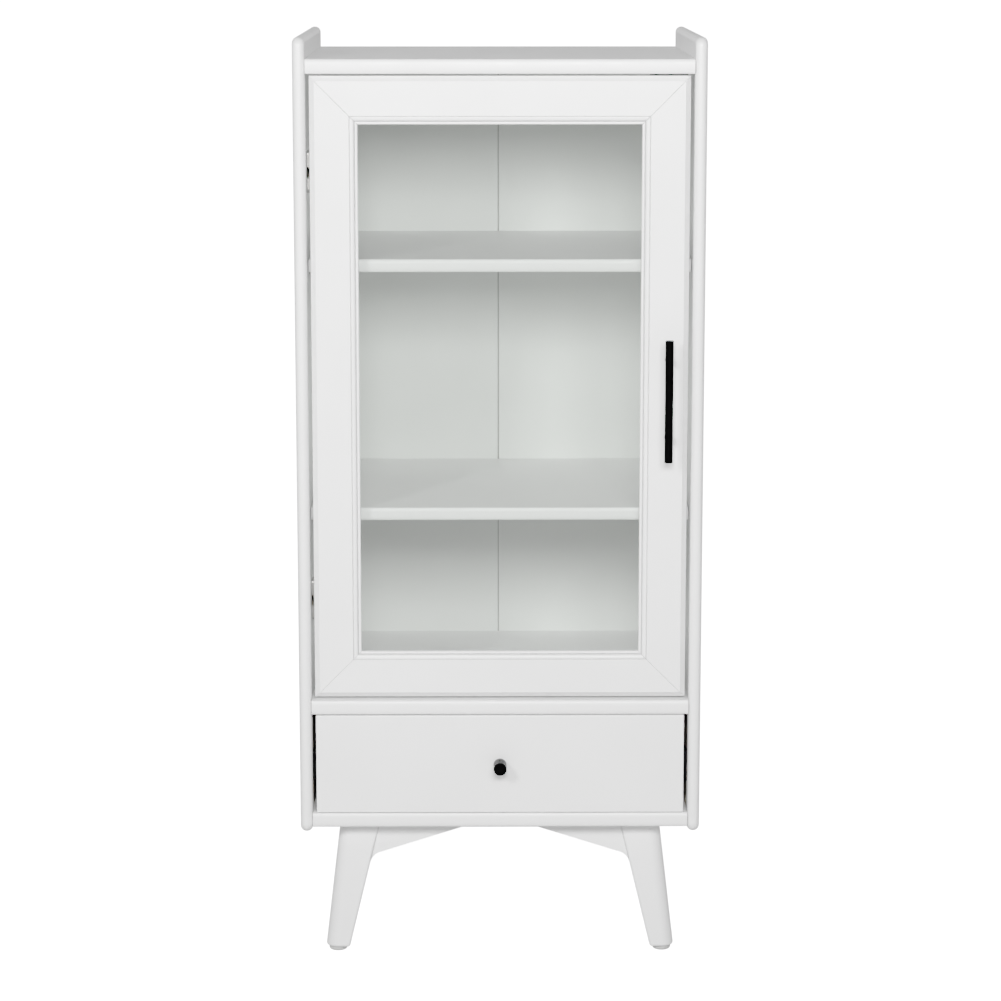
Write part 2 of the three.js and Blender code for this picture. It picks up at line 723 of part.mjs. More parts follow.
// The plate on the panel and the saddle that covers it, from the arm's end at x and y.
function mountingPlate(x, y) {
  const { start, width, height, corner, thickness } = MOUNTING_PLATE;
  const from = y + start;
  const outline = roundedRectangle(from, -height / 2, from + width, height / 2, Array(4).fill(corner));
  const plate = extrude(outline, thickness, 3).rotateX(QUARTER).rotateZ(QUARTER).translate(x, 0, 0);
  const half = ARM_HEIGHT / 2;
  const saddle = box(x, y, -half, x + SADDLE.thickness, y + SADDLE.length, half);
  return [plate, saddle];
}

function hingeArms() {
  const x = PIVOT.fromPanel - INNER_HALF;
  return Object.entries(hingeHeights()).map(([name, z]) =>
    mesh(`hinge_arm_${name}`, armGeometry(), NICKEL, [x, FRONT_Y + PIVOT.depth, DOOR_Z + z]),
  );
}

function handle() {
  const axisY = HANDLE_RADIUS - HANDLE_REACH;
  const middle = HANDLE_Z - DOOR_Z;
  const bar = rod(HANDLE_RADIUS, HANDLE_LENGTH, RIM_EASE, HANDLE_SIDES);
  const clearance = rod(HANDLE_RADIUS + GAP, 4 * POST_RADIUS, 0, HANDLE_SIDES);
  const post = rod(POST_RADIUS, -GAP - axisY, 0, HANDLE_SIDES).rotateX(-QUARTER).translate(0, axisY, 0);
  const postGeometry = cut(post, clearance.translate(0, axisY, -2 * POST_RADIUS));
  return [
    mesh('handle_bar', bar, BLACK_METAL, [HANDLE_X, axisY, middle - HANDLE_LENGTH / 2]),
    mesh('handle_post_lower', postGeometry, BLACK_METAL, [HANDLE_X, 0, middle - POST_SPACING / 2]),
    mesh('handle_post_upper', postGeometry, BLACK_METAL, [HANDLE_X, 0, middle + POST_SPACING / 2]),
  ];
}

function strikePlate() {
  const { width, height, thickness, corner, fromTop } = STRIKE;
  const outline = roundedRectangle(-width / 2, -height, width / 2, 0, Array(4).fill(corner));
  const place = [CATCH.x, FRAME_THICKNESS + GAP + thickness, DOOR_HEIGHT - fromTop];
  return mesh('strike_plate', extrude(outline, thickness, 3), NICKEL, place, ALONG_FRONT);
}

function door() {
  const pieces = [...doorFrame(), ...glazing(), ...hingeCups(), ...handle(), strikePlate()];
  return groupOf(0, FRONT_Y + DOOR_RECESS, DOOR_Z, ...pieces);
}

// The catch hangs under the top board, close behind the strike plate.
function magneticCatch() {
  const { x, width, depth, height } = CATCH;
  const outline = roundedRectangle(-width / 2, -height, width / 2, 0, [CATCH_CORNER, CATCH_CORNER, 0, 0]);
  const front = FRONT_Y + DOOR_RECESS + FRAME_THICKNESS + 2 * GAP + STRIKE.thickness;
  const place = [x, front + depth, TOP_BOARD_Z - GAP];
  return mesh('magnetic_catch', extrude(outline, depth, 3), CATCH_PLASTIC, place, ALONG_FRONT);
}

// ---- Drawer -------------------------------------------------------------------------------------

function drawerFront() {
  const { width, height, thickness, z, ease, corner } = DRAWER_FRONT;
  const outline = roundedRectangle(-width / 2, 0, width / 2, height, Array(4).fill(corner));
  const slab = new THREE.ExtrudeGeometry(outline, {
    depth: thickness - 2 * ease,
    bevelThickness: ease,
    bevelSize: ease,
    bevelOffset: -ease,
    bevelSegments: 2,
    curveSegments: 2,
  });
  return mesh('drawer_front', slab, LACQUER, [0, FRONT_Y + thickness - ease, z], ALONG_FRONT);
}

// The left side, seen from the front: its inner face has the groove that holds the floor.
function drawerSideShape() {
  const { height, side, chamfer } = DRAWER_BOX;
  const low = DRAWER_FLOOR.z - DRAWER_BOX.z - GAP;
  const high = low + DRAWER_FLOOR.thickness + 2 * GAP;
  const shape = new THREE.Shape();
  shape.moveTo(0, 0);
  shape.lineTo(side, 0);
  shape.lineTo(side, low);
  shape.lineTo(side - DRAWER_FLOOR.groove, low);
  shape.lineTo(side - DRAWER_FLOOR.groove, high);
  shape.lineTo(side, high);
  shape.lineTo(side, height - chamfer);
  shape.lineTo(side - chamfer, height);
  shape.lineTo(chamfer, height);
  shape.lineTo(0, height - chamfer);
  return shape;
}

function drawerBox() {
  const { z, height, length, side, clearance } = DRAWER_BOX;
  const outer = INNER_HALF - clearance;
  const front = FRONT_Y + DRAWER_FRONT.thickness + GAP;
  const back = front + length;
  const sideGeometry = extrude(drawerSideShape(), length);
  const left = mesh('drawer_side_left', sideGeometry, PLY, [-outer, back, z], ALONG_FRONT);
  const right = mesh('drawer_side_right', sideGeometry, PLY, [outer, back, z], ALONG_FRONT);
  right.scale.x = -1;
  const inner = outer - side - GAP;
  const floorTop = DRAWER_FLOOR.z + DRAWER_FLOOR.thickness;
  const rear = box(-inner, back - side, floorTop + GAP, inner, back, z + height - DRAWER_BACK_DROP);
  const reach = inner + DRAWER_FLOOR.groove - GAP;
  const floor = box(-reach, front, DRAWER_FLOOR.z, reach, back, floorTop);
  return [
    left,
    right,
    mesh('drawer_back', rear, PLY, [0, 0, 0]),
    mesh('drawer_floor', floor, PLY, [0, 0, 0]),
  ];
}

// Cabinet half of a slide: a lipped channel. x is measured in from the side panel, y from the middle.
function channelShape() {
  const { height, depth, metal, lip } = CHANNEL;
  const half = height / 2;
  const shape = new THREE.Shape();
  shape.moveTo(0, -half);
  shape.lineTo(depth, -half);
  shape.lineTo(depth, lip - half);
  shape.lineTo(depth - metal, lip - half);
  shape.lineTo(depth - metal, metal - half);
  shape.lineTo(metal, metal - half);
  shape.lineTo(metal, half - metal);
  shape.lineTo(depth - metal, half - metal);
  shape.lineTo(depth - metal, half - lip);
  shape.lineTo(depth, half - lip);
  shape.lineTo(depth, half);
  shape.lineTo(0, half);
  return shape;
}

// Drawer half: a T whose head runs inside the channel and whose foot is screwed to the drawer's side.
function runnerShape() {
  const { height, depth, metal, lip } = CHANNEL;
  const head = height / 2 - metal - RUNNER_PLAY;
  const neck = height / 2 - lip - RUNNER_PLAY;
  const x = [metal + RUNNER_PLAY, depth - metal - RUNNER_PLAY, DRAWER_BOX.clearance - 2 * GAP];
  const shape = new THREE.Shape();
  shape.moveTo(x[0], -head);
  shape.lineTo(x[1], -head);
  shape.lineTo(x[1], -neck);
  shape.lineTo(x[2], -neck);
  shape.lineTo(x[2], neck);
  shape.lineTo(x[1], neck);
  shape.lineTo(x[1], head);
  shape.lineTo(x[0], head);
  return shape;
}

function slidePair(name, shape) {
  const geometry = extrude(shape, SLIDE_LENGTH);
  return SIDES.map(([side, sign]) => {
    const place = [sign * (INNER_HALF - GAP), FRONT_Y + SLIDE_DEPTH + SLIDE_LENGTH, SLIDE_Z];
    const made = mesh(`${name}_${side}`, geometry, SLIDE_STEEL, place, ALONG_FRONT);
    made.scale.x = -sign;
    return made;
  });
}

function knob() {
  const geometry = rod(KNOB_RADIUS, KNOB_LENGTH - GAP, RIM_EASE, HANDLE_SIDES).rotateX(QUARTER);
  return mesh('drawer_knob', geometry, BLACK_METAL, [0, FRONT_Y - GAP, KNOB_Z]);
}

function drawer() {
  const runners = slidePair('drawer_runner', runnerShape());
  return groupOf(0, 0, 0, drawerFront(), ...drawerBox(), ...runners, knob());
}

// ---- The cabinet --------------------------------------------------------------------------------

const carcass = [...sidePanels(), ...boards(), ...backSheets(), ...shelves(), ...shelfPins()];
const fittings = [...hingeArms(), magneticCatch(), ...slidePair('slide_channel', channelShape())];
const base = [...legs(), ...aprons()];

export default groupOf(0, 0, 0, ...carcass, ...fittings, ...base, door(), drawer());
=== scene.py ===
import json
import math

import bmesh
import bpy
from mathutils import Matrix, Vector

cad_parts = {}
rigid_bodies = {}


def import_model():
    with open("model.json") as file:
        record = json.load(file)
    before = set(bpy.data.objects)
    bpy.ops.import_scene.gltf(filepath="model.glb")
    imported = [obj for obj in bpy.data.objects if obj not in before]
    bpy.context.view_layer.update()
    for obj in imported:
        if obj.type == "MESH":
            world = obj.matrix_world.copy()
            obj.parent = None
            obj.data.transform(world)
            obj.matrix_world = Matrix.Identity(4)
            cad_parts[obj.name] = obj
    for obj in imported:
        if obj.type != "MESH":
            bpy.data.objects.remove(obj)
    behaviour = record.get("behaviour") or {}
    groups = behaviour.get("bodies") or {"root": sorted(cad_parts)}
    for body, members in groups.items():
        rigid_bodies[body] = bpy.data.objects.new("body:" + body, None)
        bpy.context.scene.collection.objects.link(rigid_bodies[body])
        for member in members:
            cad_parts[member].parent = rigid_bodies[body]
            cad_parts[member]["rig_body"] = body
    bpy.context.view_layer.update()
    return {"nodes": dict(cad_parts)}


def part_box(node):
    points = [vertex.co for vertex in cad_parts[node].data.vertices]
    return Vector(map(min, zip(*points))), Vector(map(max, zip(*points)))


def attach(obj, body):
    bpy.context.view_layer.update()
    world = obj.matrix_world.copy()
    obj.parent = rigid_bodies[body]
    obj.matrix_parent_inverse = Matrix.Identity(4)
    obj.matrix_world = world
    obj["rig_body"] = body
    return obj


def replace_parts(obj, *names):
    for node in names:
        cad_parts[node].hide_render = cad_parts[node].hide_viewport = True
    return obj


# A tall white display cabinet on splayed legs: one glazed door over one drawer.
# Metres, +Z up. Every piece is built inside the box of the CAD node it stands for, and the front faces -Y.

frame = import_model()

MM = 0.001
GAP = 0.3 * MM  # between pieces that touch
X = Vector((1, 0, 0))
Y = Vector((0, 1, 0))
Z = Vector((0, 0, 1))


# ---- Driving dimensions --------------------------------------------------------------------------------

PANEL_NOSE = 7.2 * MM
PEG_RADIUS = 2.5 * MM  # of a shelf pin, in its hole
PEG_LENGTH = 8.3 * MM
PANEL_CORNER = 11 * MM
BOARD_NOSE = 3.5 * MM
BOARD_CROWN = 2.6  # exponent of the front edge's superellipse: 2 is an ellipse, more is flatter
SHELF_NOSE = 3 * MM
BACK_SEAM = 1.2 * MM
SEAM_CHAMFER = 0.3 * MM

FRAME_EDGE = (6.4 * MM, 6.2 * MM)  # width and depth of the slope on the door's outer edge
SLOPE_STEP = 0.5 * MM  # where the slope meets the flat
MOULDING_WIDTH = 10.5 * MM
MOULDING_GROOVES = (2.4 * MM, 5.8 * MM)  # depths of the outer and the inner groove
OVOLO = (3.9 * MM, 2.5 * MM)  # width and depth
SIGHT_BEAD = 1.8 * MM
MITRE_GAP = 0.12 * MM
MITRE_GROOVE = 0.4 * MM
GLASS_DEPTH = 9 * MM
GLASS_COVER = 8 * MM  # how far the frame reaches over the glass
BEAD_ROUND = 5 * MM  # of a glazing bead

CUP_RADIUS = 17.5 * MM
CUP_DEPTH = 12.2 * MM
CUP_FROM_EDGE = 22.5 * MM
CUP_SCREWS = 24.5 * MM
CUP_WALL = 1 * MM
CUP_LIP = 1.4 * MM  # how far the rim reaches past the cup
CUP_RISE = 0.02 * MM  # between the rim and the door's back face
CUP_WING = (10 * MM, 31 * MM, 6 * MM)  # half width, half height and corner radius
WING_TOP = 0.9 * MM
LUG = Vector((7 * MM, 6 * MM, 2 * MM))
PIVOT_FROM_PANEL = 14 * MM
ARM_HEIGHT = 12.4 * MM
ARM_HOOK = (13.5 * MM, 16.5 * MM)
ARM_LENGTH = 45 * MM
ARM_HALF = 1.2 * MM  # half the thickness of the arm beside its pin
EYE = (2.6 * MM, 8 * MM)  # radius and length of the sleeve round the pin
PLATE_WING = (20 * MM, 52 * MM, 2.5 * MM)
PLATE_SCREW = 19 * MM  # above and below the pin
SADDLE_SCREWS = (9 * MM, 34 * MM)  # behind the pin

LEG_FOOT = (191.9 * MM, 221.2 * MM, 17 * MM, 47 * MM)  # inner, outer, front, rear at the floor
LEG_HEAD = (151.2 * MM, 201.3 * MM, 27 * MM, 77 * MM)  # the same at LEG_HEAD_Z
LEG_HEAD_Z = 169 * MM
LEG_CORNER = 15 * MM
LEG_EDGE = 3.5 * MM
LEG_EASE = 3.5 * MM
GLIDE_STEM = 2.5 * MM
GLIDE_SOLE = 7 * MM
GLIDE_ROUND = 3.6 * MM
APRON_END_Z = 125 * MM
APRON_CROWN_Z = 161 * MM
APRON_SLOPE = 0.317
APRON_FILLET = 10 * MM
FILLET_STEPS = 8

SCREW_HEAD = 3.6 * MM
RECESS_FLOOR = 0.35 * MM
CUTTER_TOP = 9 * MM  # clear of the head
SHARP_ANGLE = 35  # degrees between faces that share an edge


# ---- Solids: a list of points and a list of faces ------------------------------------------------------

def arc(centre, radius, start, end, steps):
    """Points on an arc in a plane, both ends included. A radius may be a pair, and angles are in degrees."""
    wide, high = radius if isinstance(radius, tuple) else (radius, radius)
    turns = [math.radians(start + (end - start) * i / steps) for i in range(steps + 1)]
    return [(centre[0] + wide * math.cos(t), centre[1] + high * math.sin(t)) for t in turns]


def rounded_rectangle(x0, y0, x1, y1, radii, steps=6):
    """Corner radii are for (x0, y0), (x1, y0), (x1, y1) and (x0, y1)."""
    a, b, c, d = radii
    return [
        *arc((x0 + a, y0 + a), a, 180, 270, steps),
        *arc((x1 - b, y0 + b), b, 270, 360, steps),
        *arc((x1 - c, y1 - c), c, 0, 90, steps),
        *arc((x0 + d, y1 - d), d, 90, 180, steps),
    ]


def across(axis, profile, position):
    """A flat profile's points, standing across the axis at that position."""
    if axis == "x":
        return [Vector((position, a, b)) for a, b in profile]
    if axis == "y":
        return [Vector((a, position, b)) for a, b in profile]
    return [Vector((a, b, position)) for a, b in profile]


def loft(rings):
    """A closed solid through rings with the same number of points."""
    count = len(rings[0])
    points = [point for ring in rings for point in ring]
    faces = [list(range(count)), list(range(len(points) - count, len(points)))]
    for start in range(0, len(points) - count, count):
        for i in range(count):
            j = (i + 1) % count
            faces.append([start + i, start + j, start + count + j, start + count + i])
    return points, faces


def prism(axis, profile, start, end):
    return loft([across(axis, profile, start), across(axis, profile, end)])


def block(low, high):
    base = [(low[0], low[1]), (high[0], low[1]), (high[0], high[1]), (low[0], high[1])]
    return prism("z", base, low[2], high[2])


def turned(profile, origin, direction, segments=48):
    """A solid of revolution from (radius, distance along the direction), with flat ends."""
    turn = Z.rotation_difference(direction)
    angles = [math.tau * i / segments for i in range(segments)]
    rings = []
    for radius, along in profile:
        ring = [Vector((radius * math.cos(a), radius * math.sin(a), along)) for a in angles]
        rings.append([Vector(origin) + turn @ point for point in ring])
    return loft(rings)


def rod(radius, length, ease, steps=3):
    """The profile of a rod with both rims rounded."""
    return [
        *arc((radius - ease, ease), ease, -90, 0, steps),
        *arc((radius - ease, length - ease), ease, 0, 90, steps),
    ]


def merged(*solids):
    points, faces = [], []
    for more_points, more_faces in solids:
        start = len(points)
        points += more_points
        faces += [[start + i for i in face] for face in more_faces]
    return points, faces


def placed(solid, move):
    points, faces = solid
    return [move(point) for point in points], faces


def new_object(name, solid):
    mesh = bpy.data.meshes.new(name)
    mesh.from_pydata(solid[0], [], solid[1])
    shape = bmesh.new()
    shape.from_mesh(mesh)
    bmesh.ops.remove_doubles(shape, verts=shape.verts, dist=0.002 * MM)
    bmesh.ops.recalc_face_normals(shape, faces=shape.faces)
    shape.to_mesh(mesh)
    shape.free()
    made = bpy.data.objects.new(name, mesh)
    bpy.context.scene.collection.objects.link(made)
    return made


def carved(solid, *tools, operation="DIFFERENCE"):
    """The solid with the tools cut out of it, or joined to it."""
    blank = new_object("blank", solid)
    cutter = new_object("cutter", merged(*tools))
    modifier = blank.modifiers.new("cut", "BOOLEAN")
    modifier.operation = operation
    modifier.solver = "EXACT"
    modifier.object = cutter
    done = blank.evaluated_get(bpy.context.evaluated_depsgraph_get())
    mesh = done.to_mesh()
    result = [v.co.copy() for v in mesh.vertices], [list(p.vertices) for p in mesh.polygons]
    done.to_mesh_clear()
    for temporary in (blank, cutter):
        data = temporary.data
        bpy.data.objects.remove(temporary)
        bpy.data.meshes.remove(data)
    return result


# ---- Pieces --------------------------------------------------------------------------------------------

def add(name, solid, material, body, ease=0, ease_steps=3):
    """A piece with smooth shading. With an ease its edges are rounded, and without one they stay sharp."""
    made = new_object(name, solid)
    made.data.shade_smooth()
    if ease:
        bevel = made.modifiers.new("ease", "BEVEL")
        bevel.width = ease
        bevel.segments = ease_steps
        bevel.limit_method = "ANGLE"
        bevel.angle_limit = math.radians(SHARP_ANGLE)
    else:
        made.data.set_sharp_from_angle(angle=math.radians(SHARP_ANGLE))
    weighted = made.modifiers.new("flat faces", "WEIGHTED_NORMAL")
    weighted.keep_sharp = not ease
    made.data.materials.append(material)
    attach(made, body)
    return made


def stand_in(node, solid, material, **shading):
    """A finer piece that is shown in place of a CAD node."""
    made = add(f"fine_{node}", solid, material, frame["nodes"][node]["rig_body"], **shading)
    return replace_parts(made, node)


# ---- Materials -----------------------------------------------------------------------------------------

# Painted shade: the dark grey laid on the bare board in the back sheets' seam groove, where the groove's
# shadow falls
SEAM_PAINTED_SHADE = (0.30, 0.29, 0.26)
SEAM_SHADE_BLEND = 0.1 * MM
GLASS_TINT = (0.975, 0.985, 0.976)
GLASS_INDEX = 1.5
COAT_INDEX = 1.12


def new_material(name, slot=None):
    material = bpy.data.materials.new(name)
    material.use_nodes = True
    material["slot"] = slot or name
    return material, material.node_tree, material.node_tree.nodes["Principled BSDF"]


def axes_of(tree, space):
    """X, Y and Z of a place on a piece, or of a direction in the sky."""
    place = tree.nodes.new("ShaderNodeTexCoord")
    axes = tree.nodes.new("ShaderNodeSeparateXYZ")
    tree.links.new(place.outputs[space], axes.inputs["Vector"])
    return axes.outputs


def noise(tree, scale, detail=2, stretch=(1, 1, 1)):
    """Noise in the piece's own space, where scale is waves per metre."""
    place = tree.nodes.new("ShaderNodeTexCoord")
    mapping = tree.nodes.new("ShaderNodeMapping")
    mapping.inputs["Scale"].default_value = stretch
    made = tree.nodes.new("ShaderNodeTexNoise")
    made.inputs["Scale"].default_value = scale
    made.inputs["Detail"].default_value = detail
    tree.links.new(place.outputs["Object"], mapping.inputs["Vector"])
    tree.links.new(mapping.outputs["Vector"], made.inputs["Vector"])
    return made.outputs["Fac"]


def spread(tree, value, low, high, start=0.3, end=0.7):
    """A value stretched from one range to another. The range it comes from is noise's, unless it is given."""
    made = tree.nodes.new("ShaderNodeMapRange")
    made.inputs["From Min"].default_value = start
    made.inputs["From Max"].default_value = end
    made.inputs["To Min"].default_value = low
    made.inputs["To Max"].default_value = high
    tree.links.new(value, made.inputs["Value"])
    return made.outputs["Result"]


def ramp(tree, value, *stops):
    """Colours along a value, from (position, colour) stops."""
    made = tree.nodes.new("ShaderNodeValToRGB")
    while len(made.color_ramp.elements) < len(stops):
        made.color_ramp.elements.new(0.5)
    for element, (position, colour) in zip(made.color_ramp.elements, stops):
        element.position = position
        element.color = (*colour, 1)
    tree.links.new(value, made.inputs["Fac"])
    return made.outputs["Color"]


def bump(tree, height, distance, strength=1, under=None):
    made = tree.nodes.new("ShaderNodeBump")
    made.inputs["Strength"].default_value = strength
    made.inputs["Distance"].default_value = distance
    tree.links.new(height, made.inputs["Height"])
    if under:
        tree.links.new(under, made.inputs["Normal"])
    return made.outputs["Normal"]


def finish_with(tree, shader, colour, roughness, normal):
    tree.links.new(colour, shader.inputs["Base Color"])
    tree.links.new(roughness, shader.inputs["Roughness"])
    tree.links.new(normal, shader.inputs["Normal"])


def lacquer():
    """Sprayed satin lacquer: a faint orange peel, a finer grain, and slow changes of tone and sheen."""
    material, tree, shader = new_material("white_lacquer")
    tone = ramp(tree, noise(tree, 5, 3), (0.35, (0.865, 0.865, 0.862)), (0.65, (0.89, 0.89, 0.888)))
    peel = bump(tree, noise(tree, 380, 1), 0.02 * MM)
    grain = bump(tree, noise(tree, 1900, 2), 0.006 * MM, under=peel)
    finish_with(tree, shader, tone, spread(tree, noise(tree, 45, 4), 0.36, 0.46), grain)
    return material


def back_sheet_foil():
    """Faintly green foil, with painted shade on the bare board in the seam groove on the centre line."""
    material, tree, shader = new_material("white_sheet")
    tone = ramp(tree, noise(tree, 9, 4), (0.35, (0.845, 0.868, 0.842)), (0.65, (0.87, 0.892, 0.867)))
    aside = tree.nodes.new("ShaderNodeMath")
    aside.operation = "ABSOLUTE"
    tree.links.new(axes_of(tree, "Object")["X"], aside.inputs[0])
    edge = BACK_SEAM / 2
    # The dark grey near the centre line is painted shade in the seam groove.
    mix = tree.nodes.new("ShaderNodeMix")
    mix.data_type = "RGBA"
    mix.inputs["A"].default_value = (*SEAM_PAINTED_SHADE, 1)
    tree.links.new(tone, mix.inputs["B"])
    tree.links.new(spread(tree, aside.outputs["Value"], 0, 1, edge, edge + SEAM_SHADE_BLEND), mix.inputs["Factor"])
    grain = bump(tree, noise(tree, 900, 3), 0.012 * MM)
    finish_with(tree, shader, mix.outputs["Result"], spread(tree, noise(tree, 60, 3), 0.5, 0.62), grain)
    return material


def plywood(name, stretch):
    """Birch ply with the grain along the axis that is stretched least."""
    material, tree, shader = new_material(name, "pale_ply")
    grain = noise(tree, 260, 5, stretch)
    tone = ramp(
        tree,
        grain,
        (0.3, (0.60, 0.47, 0.32)),
        (0.5, (0.72, 0.60, 0.44)),
        (0.7, (0.78, 0.67, 0.52)),
    )
    pores = bump(tree, noise(tree, 900, 2, stretch), 0.04 * MM)
    finish_with(tree, shader, tone, spread(tree, grain, 0.62, 0.5), pores)
    return material


def clear_glass():
    """A float glass pane: faintly green, with a slight wave in what it mirrors and thin traces of wiping."""
    material, tree, shader = new_material("clear_glass")
    tree.nodes.remove(shader)
    through = tree.nodes.new("ShaderNodeBsdfTransparent")
    through.inputs["Color"].default_value = (*GLASS_TINT, 1)
    mirror = tree.nodes.new("ShaderNodeBsdfAnisotropic")
    mirror.distribution = "GGX"
    mirror.inputs["Color"].default_value = (1, 1, 1, 1)
    wiped = spread(tree, noise(tree, 14, 4, (1, 1, 0.35)), 0.01, 0.06, 0.45, 0.75)
    wave = bump(tree, noise(tree, 3, 1), 0.15 * MM, 0.5)
    share = tree.nodes.new("ShaderNodeFresnel")
    face = tree.nodes.new("ShaderNodeNewGeometry")
    # The Fresnel node inverts the index on the far face, where unbent light would be mirrored back in.
    index = spread(tree, face.outputs["Backfacing"], GLASS_INDEX, 1 / GLASS_INDEX, 0, 1)
    tree.links.new(index, share.inputs["IOR"])
    mix = tree.nodes.new("ShaderNodeMixShader")
    tree.links.new(wiped, mirror.inputs["Roughness"])
    tree.links.new(wave, mirror.inputs["Normal"])
    tree.links.new(share.outputs["Fac"], mix.inputs["Fac"])
    tree.links.new(through.outputs["BSDF"], mix.inputs[1])
    tree.links.new(mirror.outputs["BSDF"], mix.inputs[2])
    tree.links.new(mix.outputs["Shader"], tree.nodes["Material Output"].inputs["Surface"])
    return material


def black_coat():
    """Black powder coat on metal, finely pebbled."""
    material, tree, shader = new_material("black_metal")
    shader.inputs["IOR"].default_value = COAT_INDEX
    tone = ramp(tree, noise(tree, 150, 3), (0.3, (0.003, 0.003, 0.003)), (0.7, (0.006, 0.006, 0.006)))
    pebble = bump(tree, noise(tree, 2200, 2), 0.012 * MM)
    finish_with(tree, shader, tone, spread(tree, noise(tree, 400, 3), 0.3, 0.42), pebble)
    return material


def metal(name, dark, light, roughness, stretch):
    """Plated steel with fine rolling marks across the axis that is stretched most."""
    material, tree, shader = new_material(name)
    shader.inputs["Metallic"].default_value = 1
    marks = noise(tree, 700, 3, stretch)
    tone = ramp(tree, noise(tree, 90, 4), (0.3, dark), (0.7, light))
    finish_with(tree, shader, tone, spread(tree, marks, *roughness), bump(tree, marks, 0.006 * MM))
    return material


def plastic(name, dark, light, roughness):
    material, tree, shader = new_material(name)
    tone = ramp(tree, noise(tree, 120, 3), (0.3, dark), (0.7, light))
    grain = bump(tree, noise(tree, 1500, 2), 0.015 * MM)
    finish_with(tree, shader, tone, spread(tree, noise(tree, 300, 3), *roughness), grain)
    return material


LACQUER = lacquer()
SHEET = back_sheet_foil()
PLY_ALONG = plywood("ply_along", (1, 0.04, 1))
PLY_ACROSS = plywood("ply_across", (0.04, 1, 1))
GLASS = clear_glass()
BLACK = black_coat()
NICKEL = metal("nickel_steel", (0.50, 0.49, 0.47), (0.60, 0.59, 0.57), (0.32, 0.44), (1, 1, 0.2))
# Zinc-plated steel for the drawer slides, coloured nearly black as painted shade for the dark gaps beside the
# drawer
ZINC_IN_PAINTED_SHADE = metal("zinc_steel", (0.05, 0.052, 0.056), (0.085, 0.087, 0.092), (0.4, 0.55), (1, 0.06, 1))
GLIDE = plastic("grey_plastic", (0.50, 0.50, 0.49), (0.58, 0.58, 0.57), (0.4, 0.5))
DARK = plastic("dark_plastic", (0.018, 0.016, 0.014), (0.032, 0.028, 0.024), (0.45, 0.6))


# ---- Carcass -------------------------------------------------------------------------------------------

def panel_ring(low, high, x, inset):
    """One slice of a side panel: rounded front corners, and every edge but the back one moved in."""
    bend = low.y + PANEL_CORNER
    radius = PANEL_CORNER - inset
    outline = [
        (high.y, low.z + inset),
        *arc((bend, low.z + PANEL_CORNER), radius, 270, 180, 10),
        *arc((bend, high.z - PANEL_CORNER), radius, 180, 90, 10),
        (high.y, high.z - inset),
    ]
    return across("x", outline, x)


def side_panel(side):
    low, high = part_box(f"side_panel_{side}")
    flat = (high.x - low.x) / 2 - PANEL_NOSE
    middle = (low.x + high.x) / 2
    rings = []
    for start, offset in ((-90, -flat), (0, flat)):
        for inwards, sideways in arc((0, 0), PANEL_NOSE, start, start + 90, 12):
            x = middle + offset + sideways
            rings.append(panel_ring(low, high, x, PANEL_NOSE - inwards))
    return loft(rings), low, high


def panel_cuts(side, low, high):
    """The rebate for the back sheet and the holes for the shelf pins."""
    out = -1 if side == "left" else 1
    sheet_low, sheet_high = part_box(f"back_sheet_{side}")
    rebate = block(
        (max(low.x - MM, sheet_low.x - GAP), sheet_low.y - GAP, sheet_low.z - GAP),
        (min(high.x + MM, sheet_high.x + GAP), high.y + MM, sheet_high.z + GAP),
    )
    cuts = [rebate]
    for node in frame["nodes"]:
        if node.startswith("shelf_pin_") and node.endswith(side):
            pin_low, pin_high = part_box(node)
            centre = (pin_low + pin_high) / 2
            centre.x = (pin_high.x if out > 0 else pin_low.x) + out * GAP
            cuts.append(turned([(PEG_RADIUS + GAP, 0), (PEG_RADIUS + GAP, 20 * MM)], centre, X * -out, 24))
    return cuts


def side_panels():
    for side in ("left", "right"):
        solid, low, high = side_panel(side)
        stand_in(f"side_panel_{side}", carved(solid, *panel_cuts(side, low, high)), LACQUER)


def board_section(low, high, nose):
    """A board's section in depth and height: a gently crowned front edge and a square back."""
    middle, half = (low.z + high.z) / 2, (high.z - low.z) / 2
    section = [(high.y, low.z)]
    for cosine, sine in arc((0, 0), 1, -90, 90, 20):
        depth = nose * (1 - abs(cosine) ** (2 / BOARD_CROWN))
        height = half * math.copysign(abs(sine) ** (2 / BOARD_CROWN), sine)
        section.append((low.y + depth, middle + height))
    return [*section, (high.y, high.z)]


def board(node, nose, *tools):
    low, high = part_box(node)
    solid = prism("x", board_section(low, high, nose), low.x, high.x)
    stand_in(node, carved(solid, *tools) if tools else solid, LACQUER)


def boards():
    low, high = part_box("top_board")
    sheet_low, sheet_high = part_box("back_sheet_left")
    rebate = block(
        (low.x - MM, sheet_low.y - GAP, low.z - MM),
        (high.x + MM, high.y + MM, sheet_high.z + GAP),
    )
    board("top_board", BOARD_NOSE, rebate)
    board("divider_board", BOARD_NOSE)
    board("bottom_board", BOARD_NOSE)
    board("shelf_lower", SHELF_NOSE)
    board("shelf_upper", SHELF_NOSE)


def back_sheets():
    """Two sheets that meet on the centre line, where the left one's tongue lies behind the right one."""
    for side, sign in (("left", -1), ("right", 1)):
        low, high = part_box(f"back_sheet_{side}")
        middle = (low.y + high.y) / 2
        outer, end = (low.x, high.x) if side == "left" else (high.x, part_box("back_sheet_left")[1].x + GAP)
        step = middle - sign * GAP / 2
        seam = sign * BACK_SEAM / 2
        section = [(outer, low.y), (outer, high.y), (end, high.y), (end, step), (seam, step), (seam, low.y)]
        solid = prism("z", section, low.z, high.z)
        stand_in(f"back_sheet_{side}", solid, SHEET, ease=SEAM_CHAMFER, ease_steps=2)


